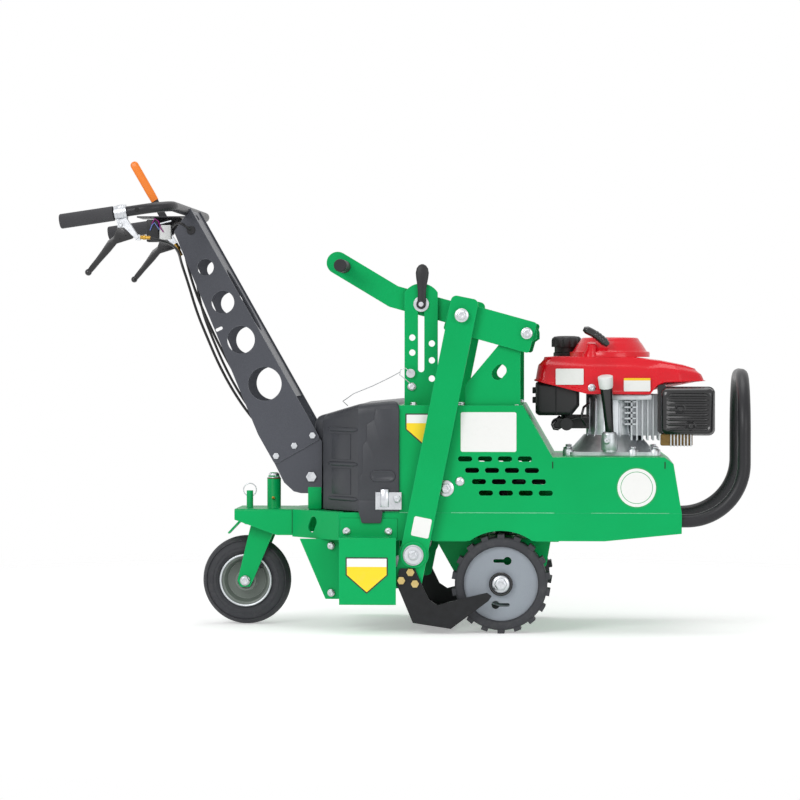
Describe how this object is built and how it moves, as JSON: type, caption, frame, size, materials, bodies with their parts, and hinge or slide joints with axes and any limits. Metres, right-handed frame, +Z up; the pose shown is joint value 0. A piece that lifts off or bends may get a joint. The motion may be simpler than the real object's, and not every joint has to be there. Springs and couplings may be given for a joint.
{
  "type": "sod cutter",
  "caption": "Walk-behind sod cutter: raised engine deck, lugged drive wheels, rear caster, reciprocating blade on long arms, depth lever with quadrant, folded channel handle.",
  "frame": {"origin": "on the ground, midway along and across the machine's box", "axes": "+X towards the bumper, +Y to the machine's left, +Z up"},
  "size_m": [1.4935, 0.668, 1.0462],
  "materials": {
    "green_paint": "semi-gloss",
    "rubber": "matt",
    "zinc": "satin",
    "black_plastic": "matt",
    "black_paint": "satin",
    "steel": "satin",
    "cast": "matt",
    "hub_paint": "satin",
    "tyre": "matt",
    "charcoal_paint": "satin",
    "aluminium": "satin",
    "red_plastic": "gloss",
    "bronze_muffler": "satin",
    "white_plastic": "gloss",
    "orange_plastic": "gloss"
  },
  "bodies": {
    "chassis": {"lower_frame": "green_paint", "housing_side_panels": "green_paint", "housing_top_plates": "green_paint", "rocker_uprights": "green_paint", "depth_quadrant": "green_paint", "gearbox_hangers": "green_paint", "blade_gearbox": "cast", "guard_boxes": "green_paint", "axle_plates": "green_paint", "transaxle": "cast", "caster_arm": "green_paint", "handle_channel": "green_paint", "handle_gussets": "green_paint", "bolts_and_clips": "zinc", "handlebar": "black_paint", "foam_grips": "rubber", "bumper": "black_paint", "transmission_cover": "black_plastic", "drive_belts": "rubber", "engine_block": "aluminium", "engine_shroud": "red_plastic", "recoil_housing": "red_plastic", "air_cleaner": "black_plastic", "carburetor": "black_plastic", "muffler": "bronze_muffler", "muffler_guard": "black_paint", "lever_perches": "zinc", "control_bracket": "black_paint", "control_cables": "rubber"},
    "depth_rocker": {"rocker_channel": "green_paint", "depth_lever_bar": "green_paint", "lever_grip": "rubber", "rocker_pivot_bolts": "zinc"},
    "arm_hanger": {"arm_pivot_bolts": "zinc"},
    "blade_arms": {"blade_arms": "green_paint", "blade": "steel", "blade_bolts": "zinc"},
    "pitman": {"pitman_rods": "zinc"},
    "depth_clamp": {"clamp_bolt": "zinc"},
    "clamp_lever": {"clamp_lever": "black_plastic"},
    "stop_pin": {"stop_pin": "black_paint"},
    "eccentric_shaft": {"eccentric_shaft": "steel"},
    "crank": {"crankshaft": "steel"},
    "gearbox_pulley": {"gearbox_pulley": "cast"},
    "transaxle_pulley": {"transaxle_pulley": "cast"},
    "drive_axle": {"axle_shaft": "steel", "drive_hubs": "hub_paint", "drive_tyres": "tyre"},
    "caster_fork": {"caster_fork": "charcoal_paint", "caster_axle": "zinc"},
    "caster_wheel": {"caster_rim": "hub_paint", "caster_tyre": "tyre"},
    "swivel_lock": {"swivel_lock": "zinc"},
    "right_brake_lever": {"right_brake_lever": "black_paint"},
    "left_brake_lever": {"left_brake_lever": "black_paint"},
    "speed_lever": {"speed_lever": "zinc", "lever_sleeve": "orange_plastic"},
    "recoil_grip": {"recoil_grip": "black_plastic"},
    "fuel_cap": {"fuel_cap": "black_plastic"},
    "dipstick": {"dipstick": "white_plastic"}
  },
  "joints": [
    {"name": "depth_rocker_swing", "type": "hinge", "parent": "chassis", "child": "depth_rocker", "pos_m": [0.26, 0, 0.655], "axis": [0, 1, 0], "range_deg": [-26, 0]},
    {"name": "arm_hanger_level", "type": "hinge", "parent": "depth_rocker", "child": "arm_hanger", "pos_m": [0.11931, 0, 0.69402], "axis": [0, 1, 0], "range_deg": [0, 26]},
    {"name": "blade_shake", "type": "hinge", "parent": "arm_hanger", "child": "blade_arms", "pos_m": [0.11931, 0, 0.69402], "axis": [0, 1, 0], "range_deg": [-0.45, 0.45]},
    {"name": "pitman_swing", "type": "hinge", "parent": "blade_arms", "child": "pitman", "pos_m": [0.01416, 0, 0.17251], "axis": [0, 1, 0], "range_deg": [0, 34.6]},
    {"name": "depth_clamp_slide", "type": "slide", "parent": "chassis", "child": "depth_clamp", "axis": [0, 0, 1], "range_m": [-0.1079, 0]},
    {"name": "clamp_lever_turn", "type": "hinge", "parent": "depth_clamp", "child": "clamp_lever", "pos_m": [0.02777, 0, 0.7194], "axis": [0, 1, 0], "range_deg": [0, 60]},
    {"name": "stop_pin_pull", "type": "slide", "parent": "chassis", "child": "stop_pin", "axis": [0, -1, 0], "range_m": [0, 0.03]},
    {"name": "eccentric_spin", "type": "hinge", "parent": "chassis", "child": "eccentric_shaft", "pos_m": [-0.095, 0, 0.12984], "axis": [0, 1, 0], "continuous": true},
    {"name": "crank_spin", "type": "hinge", "parent": "chassis", "child": "crank", "pos_m": [0.436, 0, 0.322], "axis": [0, 0, 1], "continuous": true},
    {"name": "gearbox_pulley_spin", "type": "hinge", "parent": "chassis", "child": "gearbox_pulley", "pos_m": [-0.095, 0, 0.346], "axis": [0, 0, 1], "continuous": true},
    {"name": "transaxle_pulley_spin", "type": "hinge", "parent": "chassis", "child": "transaxle_pulley", "pos_m": [0.204, 0, 0.322], "axis": [0, 0, 1], "continuous": true},
    {"name": "drive_axle_spin", "type": "hinge", "parent": "chassis", "child": "drive_axle", "pos_m": [0.204, 0, 0.108], "axis": [0, 1, 0], "continuous": true},
    {"name": "caster_swivel", "type": "hinge", "parent": "chassis", "child": "caster_fork", "pos_m": [-0.315, 0, 0.25], "axis": [0, 0, 1], "continuous": true},
    {"name": "caster_roll", "type": "hinge", "parent": "caster_fork", "child": "caster_wheel", "pos_m": [-0.376, 0, 0.1], "axis": [0, 1, 0], "continuous": true},
    {"name": "swivel_lock_lift", "type": "slide", "parent": "chassis", "child": "swivel_lock", "axis": [0, 0, 1], "range_m": [-0.014, 0]},
    {"name": "right_brake_squeeze", "type": "hinge", "parent": "chassis", "child": "right_brake_lever", "pos_m": [-0.612, -0.318, 0.88823], "axis": [0, 1, 0], "range_deg": [0, 32], "stiffness_Nm_per_rad": 1},
    {"name": "left_brake_squeeze", "type": "hinge", "parent": "chassis", "child": "left_brake_lever", "pos_m": [-0.612, 0.318, 0.88823], "axis": [0, 1, 0], "range_deg": [0, 32], "stiffness_Nm_per_rad": 1},
    {"name": "speed_lever_swing", "type": "hinge", "parent": "chassis", "child": "speed_lever", "pos_m": [-0.558, 0, 0.905], "axis": [0, 1, 0], "range_deg": [-22, 22]},
    {"name": "starter_pull", "type": "slide", "parent": "chassis", "child": "recoil_grip", "axis": [0.5299, 0, 0.848], "range_m": [0, 0.5], "stiffness_N_per_m": 40},
    {"name": "fuel_cap_twist", "type": "hinge", "parent": "chassis", "child": "fuel_cap", "pos_m": [0.345, 0.064, 0.625], "axis": [0, 0, 1], "range_deg": [0, 90]},
    {"name": "dipstick_pull", "type": "slide", "parent": "chassis", "child": "dipstick", "axis": [-0.0797, -0.2791, 0.9569], "range_m": [0, 0.12]}
  ],
  "couplings": [
    {"joint": "arm_hanger_level", "follows": "depth_rocker_swing", "ratio": -1},
    {"joint": "pitman_swing", "follows": "depth_rocker_swing", "ratio": -1.3277},
    {"joint": "depth_clamp_slide", "follows": "depth_rocker_swing", "m_per_rad": 0.2375},
    {"joint": "gearbox_pulley_spin", "follows": "crank_spin", "ratio": 0.54286},
    {"joint": "transaxle_pulley_spin", "follows": "crank_spin", "ratio": 0.69091}
  ]
}
